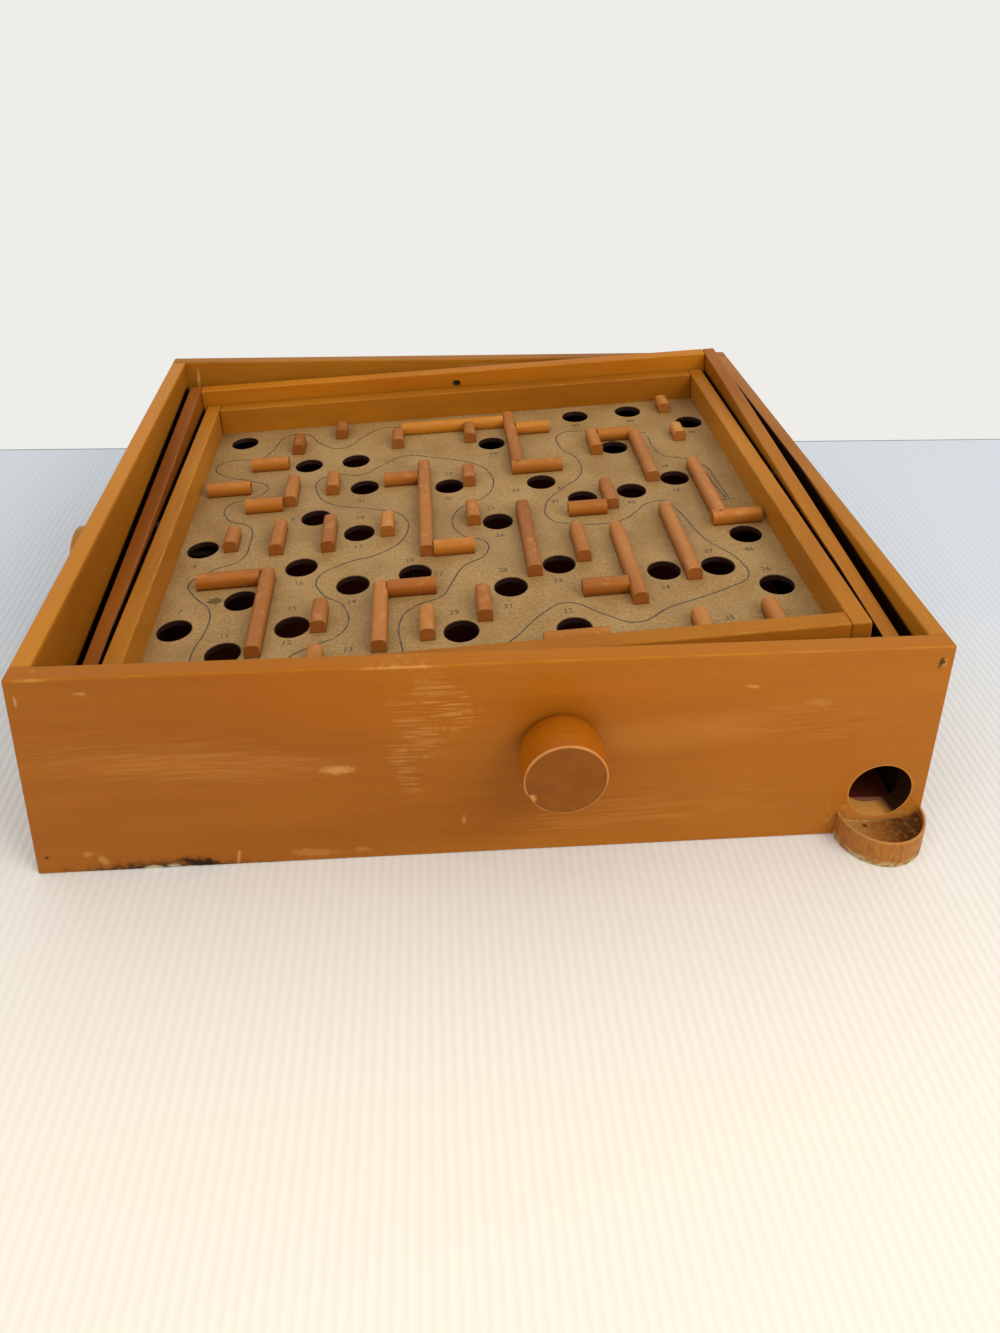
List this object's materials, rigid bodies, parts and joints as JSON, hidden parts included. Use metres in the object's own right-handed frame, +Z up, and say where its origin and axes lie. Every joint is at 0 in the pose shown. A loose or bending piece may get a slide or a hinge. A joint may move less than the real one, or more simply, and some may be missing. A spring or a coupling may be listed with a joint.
{
  "type": "tilt maze game",
  "caption": "Wooden tilt maze: an open case with two nested tilting frames, a holed maze board with glued bars, front and side knobs, a return floor and a ball cup",
  "frame": {"origin": "under the middle of the whole game, knobs included, at the level of the surface it stands on", "axes": "+X to the right and +Y to the back for a player in front of the front knob, +Z up"},
  "size_m": [0.3838, 0.3404, 0.1032],
  "materials": {
    "varnished_pine": "pale softwood under a clear honey-coloured varnish, worn paler along its edges",
    "worn_pine": "the same varnished softwood, more worn",
    "turned_beech": "turned beech, varnished, its rim worn",
    "stained_beech": "reddish beech strip, thinly varnished",
    "hardboard": "smooth printed face of hardboard, scuffed",
    "steel": "plain steel rod",
    "cord": "thin dark braided cord"
  },
  "bodies": {
    "case": {"front_panel": "varnished_pine", "back_panel": "varnished_pine", "left_panel": "varnished_pine", "right_panel": "varnished_pine", "return_floor": "varnished_pine", "left_floor_ledge": "varnished_pine", "right_floor_ledge": "varnished_pine", "ball_cup": "turned_beech", "front_shaft_bearing": "turned_beech", "front_pivot_pin": "steel", "back_pivot_pin": "steel"},
    "ring": {"outer_frame_front": "varnished_pine", "outer_frame_back": "varnished_pine", "outer_frame_left": "varnished_pine", "outer_frame_right": "varnished_pine", "left_tilt_pin": "steel", "right_tilt_pin": "steel", "front_cord_left": "cord", "front_cord_right": "cord", "front_spring": "steel"},
    "board": {"inner_frame_front": "worn_pine", "inner_frame_back": "worn_pine", "inner_frame_left": "worn_pine", "inner_frame_right": "worn_pine", "maze_board": "hardboard", "maze_wall_01": "stained_beech", "maze_wall_02": "stained_beech", "maze_wall_03": "stained_beech", "maze_wall_04": "stained_beech", "maze_wall_05": "stained_beech", "maze_wall_06": "stained_beech", "maze_wall_07": "stained_beech", "maze_wall_08": "stained_beech", "maze_wall_09": "stained_beech", "maze_wall_10": "stained_beech", "maze_wall_11": "stained_beech", "maze_wall_12": "stained_beech", "maze_wall_13": "stained_beech", "maze_wall_14": "stained_beech", "maze_wall_15": "stained_beech", "maze_wall_16": "stained_beech", "maze_wall_17": "stained_beech", "maze_wall_18": "stained_beech", "maze_wall_19": "stained_beech", "maze_wall_20": "stained_beech", "maze_wall_21": "stained_beech", "maze_wall_22": "stained_beech", "maze_wall_23": "stained_beech", "maze_wall_24": "stained_beech", "maze_wall_25": "stained_beech", "maze_wall_26": "stained_beech", "side_cord_front": "cord", "side_cord_back": "cord", "side_spring": "steel"},
    "front_dial": {"front_knob": "turned_beech", "front_shaft": "steel", "front_cord_turns": "cord"},
    "side_dial": {"side_knob": "turned_beech", "side_shaft": "steel", "side_cord_turns": "cord"}
  },
  "joints": [
    {"name": "outer_tilt", "type": "hinge", "parent": "case", "child": "ring", "pos_m": [0.0119, 0.01025, 0.0739], "axis": [0, 0.9978, 0.0668], "range_deg": [-0.6, 8.6], "deforming": ["front_cord_left", "front_cord_right", "front_spring"]},
    {"name": "inner_tilt", "type": "hinge", "parent": "ring", "child": "board", "pos_m": [0.0119, 0.01025, 0.0739], "axis": [0.9976, -0.0047, 0.0696], "range_deg": [-5.6, 4.4], "deforming": ["side_cord_front", "side_cord_back", "side_spring"]},
    {"name": "front_knob_turn", "type": "hinge", "parent": "case", "child": "front_dial", "pos_m": [0.0369, -0.14975, 0.055], "axis": [0, 1, 0], "range_deg": [-3, 43]},
    {"name": "side_knob_turn", "type": "hinge", "parent": "case", "child": "side_dial", "pos_m": [-0.1681, 0.01425, 0.04396], "axis": [1, 0, 0], "range_deg": [-44.8, 35.2]}
  ],
  "couplings": [
    {"joint": "front_knob_turn", "follows": "outer_tilt", "ratio": 5},
    {"joint": "side_knob_turn", "follows": "inner_tilt", "ratio": 8}
  ]
}
